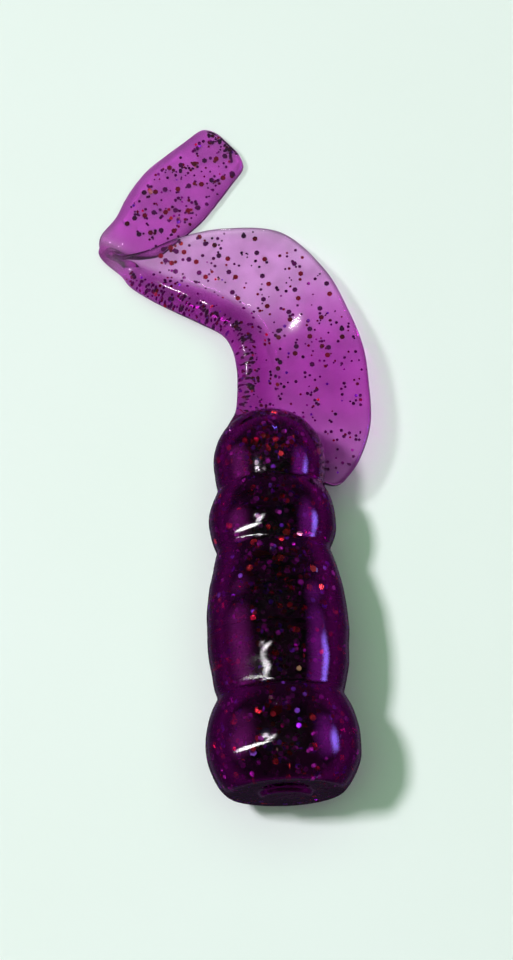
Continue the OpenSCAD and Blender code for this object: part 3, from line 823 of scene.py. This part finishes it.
FLOOR_HALF = 2.0
corners = FLOOR_HALF * np.array([(-1, -1, 0), (1, -1, 0), (1, 1, 0), (-1, 1, 0)])
floor_mesh = bpy.data.meshes.new("floor")
floor_mesh.from_pydata(corners.tolist(), [], [(0, 1, 2, 3)])
floor = bpy.data.objects.new("floor", floor_mesh)
floor_mesh.materials.append(pale_card())
bpy.context.scene.collection.objects.link(floor)
floor.visible_glossy = False
print("floor", 2 * FLOOR_HALF, "m wide")

# %% [markdown]
# A glossy skin shows its room, so each highlight on the bait is a lamp that only reflections see,
# with the size, the direction and the soft edge of that highlight. The light that falls on things
# comes from one lamp on the upper left, which gives the shadow to the right, and a dim ceiling.

# %% A soft lamp
TARGET = np.array([0, 22, 4.0])


def soft_lamp(name, towards, distance, width, height, radiance, code, gloss, soft=0.0, roll=0.0):
    """Area light a distance in millimetres from the bait, in the direction given. Width runs up
    and down in the view from the bait, height along its length. The radiance falls from the
    middle to the rim over the soft share. With gloss, only reflections see it, and without, it only
    lights things. Roll turns it about its own direction, in degrees."""
    data = bpy.data.lights.new(name, "AREA")
    data.shape, data.size, data.size_y = "RECTANGLE", width * MM, height * MM
    data.energy, data.color = radiance * math.pi * width * height * MM * MM, linear(code)[:3]
    if soft:
        data.use_nodes = True
        tree = data.node_tree
        tree.nodes.clear()
        spot = node(tree, "ShaderNodeNewGeometry")
        from_middle = node(tree, "ShaderNodeVectorMath", {0: spot.outputs["Parametric"]},
                           {1: (0.5, 0.5, 0.0)}, operation="DISTANCE")
        fade = node(tree, "ShaderNodeMapRange", {"Value": from_middle.outputs["Value"]},
                    {"From Min": 0.5 - 0.5 * soft, "From Max": 0.5, "To Min": 1.0, "To Max": 0.0},
                    interpolation_type="SMOOTHSTEP")
        glow = node(tree, "ShaderNodeEmission", {"Strength": fade.outputs["Result"]})
        node(tree, "ShaderNodeOutputLight", {"Surface": glow.outputs["Emission"]})
    obj = bpy.data.objects.new(name, data)
    z = unit(np.array(towards, float))
    x = unit(np.cross([0, 1.0, 0.001], z))
    x = math.cos(math.radians(roll)) * x + math.sin(math.radians(roll)) * np.cross(z, x)
    place = (TARGET + distance * z) * MM
    obj.matrix_world = Matrix(np.column_stack([x, np.cross(z, x), z, place]).tolist() + [[0, 0, 0, 1]])
    obj.visible_camera, obj.visible_glossy = False, gloss
    obj.visible_diffuse = obj.visible_transmission = not gloss
    bpy.context.scene.collection.objects.link(obj)
    return obj


print("lamps turn to", TARGET, "mm")

# %% [markdown]
# Clear vinyl casts a pale, coloured shadow. A path tracer finds that light only by chance, so the
# lamp is split in two at one place: the lesser part is stopped by everything, and the greater part
# only by the thick body. Light linking does this with a collection of the pieces that block it.
# In the same way the window is screened from the ribbon, and two small lamps are only for it.

# %% Lamps
LAMP_PLACE = ((-0.45, 0.08, 0.88), 800, 95, 95)
WHITE = "#ffffff"


def skin_collection(name, members):
    """Collection of some of the skins, for a lamp to name."""
    made = bpy.data.collections.new(name)
    for member in members:
        made.objects.link(skins[member])
    return made


thick_skins = skin_collection("thick_skins", ("skin_front", "skin_middle", "skin_rear"))
thin_skins = skin_collection("thin_skins", ("skin_tail", "skin_tip"))

# light that falls on things
soft_lamp("lamp", *LAMP_PLACE, 71, "#faedff", False)
through_lamp = soft_lamp("through_lamp", *LAMP_PLACE, 107, "#faedff", False)
through_lamp.light_linking.blocker_collection = thick_skins
soft_lamp("ceiling", (0.0, 0.0, 1.0), 700, 900, 900, 1.1, "#d0ffd8", False)

# white streaks on the bulges
left_window = soft_lamp("left_window", (-0.72, -0.22, 0.66), 400, 520, 60, 36, WHITE, True, 0.6)
left_window.light_linking.receiver_collection = thick_skins
soft_lamp("ceiling_lamp", (-0.34, -0.05, 0.94), 450, 230, 100, 24, "#fff8ff", True, 1.0, 40)

# the spot on the web, and the glints on the upper and the lower spine
soft_lamp("far_lamp", (-0.081, 0.7235, 0.6855), 458, 6, 4, 80, WHITE, True)
low_lamp = soft_lamp("low_lamp", (-0.042, 0.891, 0.4525), 472, 22, 15, 80, WHITE, True)
side_lamp = soft_lamp("side_lamp", (-0.525, 0.555, 0.646), 464, 16, 14, 80, WHITE, True)
for lamp in (low_lamp, side_lamp):
    lamp.light_linking.receiver_collection = thin_skins

# magenta glow on both sides of the body, and violet glow on the right of it
soft_lamp("left_panel", (-0.9, 0.05, 0.42), 500, 600, 700, 3.6, "#bc30b0", True, 1.0)
soft_lamp("right_panel", (0.92, 0.0, 0.38), 500, 500, 700, 4.6, "#b328c8", True, 1.0)
soft_lamp("right_window", (0.97, -0.04, 0.14), 400, 150, 280, 24, "#7c62e1", True, 1.0)

# %% [markdown]
# The room itself is dark overhead, so that the dark body stays dark, and magenta around the
# horizon. That is what the thick sides of the bait reflect and let through. Each step of the ramp
# is a height, from straight down at 0 to straight up at 1.

# %% Room
ROOM_STEPS = ((0.03, "#3f3045"), (0.07, "#6f597c"), (0.13, "#5d3065"), (0.25, "#811681"),
              (0.38, "#c421bc"), (0.48, "#b321ad"), (0.56, "#6c276c"))
world = bpy.data.worlds.new("room")
bpy.context.scene.world = world
world.use_nodes = True
tree = world.node_tree
tree.nodes.clear()
where = node(tree, "ShaderNodeTexCoord")
split = node(tree, "ShaderNodeSeparateXYZ", {"Vector": where.outputs["Generated"]})
height = node(tree, "ShaderNodeMapRange", {"Value": split.outputs["Z"]},
              {"From Min": -1.0, "From Max": 1.0})
ramp = node(tree, "ShaderNodeValToRGB", {"Fac": height.outputs["Result"]})
ramp.color_ramp.elements[0].position, ramp.color_ramp.elements[0].color = 0.0, linear("#211627")
ramp.color_ramp.elements[1].position, ramp.color_ramp.elements[1].color = 0.85, linear("#272727")
for place, code in ROOM_STEPS:
    ramp.color_ramp.elements.new(place).color = linear(code)
sky = node(tree, "ShaderNodeBackground", {"Color": ramp.outputs["Color"]}, {"Strength": 1.0})
node(tree, "ShaderNodeOutputWorld", {"Surface": sky.outputs["Background"]})
bpy.context.scene.view_settings.view_transform = "Standard"
print("room of", len(ramp.color_ramp.elements), "steps")

# %% [markdown]
# The camera looks down at 76 degrees from the nose's side, a little turned, from far enough that
# the perspective is slight. Its height, turn and scale were found by laying the outline of the
# solids over the outline in the picture.

# %% Camera
IMAGE_W, IMAGE_H, SENSOR = 513, 960, 36.0
ELEVATION, TURN, DISTANCE, PIXELS_PER_MM = math.radians(76), math.radians(-2.811), 400.0, 12.48
TARGET_PIXEL = (270.5, 480.9)
look = np.array([0, math.cos(ELEVATION), -math.sin(ELEVATION)])
level = np.array([1.0, 0, 0])
rise = np.cross(level, look)
right = math.cos(TURN) * level + math.sin(TURN) * rise
up = -math.sin(TURN) * level + math.cos(TURN) * rise
cam_data = bpy.data.cameras.new("camera")
cam_data.sensor_fit, cam_data.sensor_height = "VERTICAL", SENSOR
cam_data.lens = SENSOR * DISTANCE * PIXELS_PER_MM / IMAGE_H
cam_data.shift_x = -(TARGET_PIXEL[0] - IMAGE_W / 2) / IMAGE_H
cam_data.shift_y = (TARGET_PIXEL[1] - IMAGE_H / 2) / IMAGE_H
cam_data.clip_start, cam_data.clip_end = 0.01, 10.0
camera = bpy.data.objects.new("camera", cam_data)
eye = (TARGET - look * DISTANCE) * MM
camera.matrix_world = Matrix(np.column_stack([right, up, -look, eye]).tolist() + [[0, 0, 0, 1]])
bpy.context.scene.collection.objects.link(camera)
bpy.context.scene.camera = camera
print("lens", round(cam_data.lens, 1), "mm")
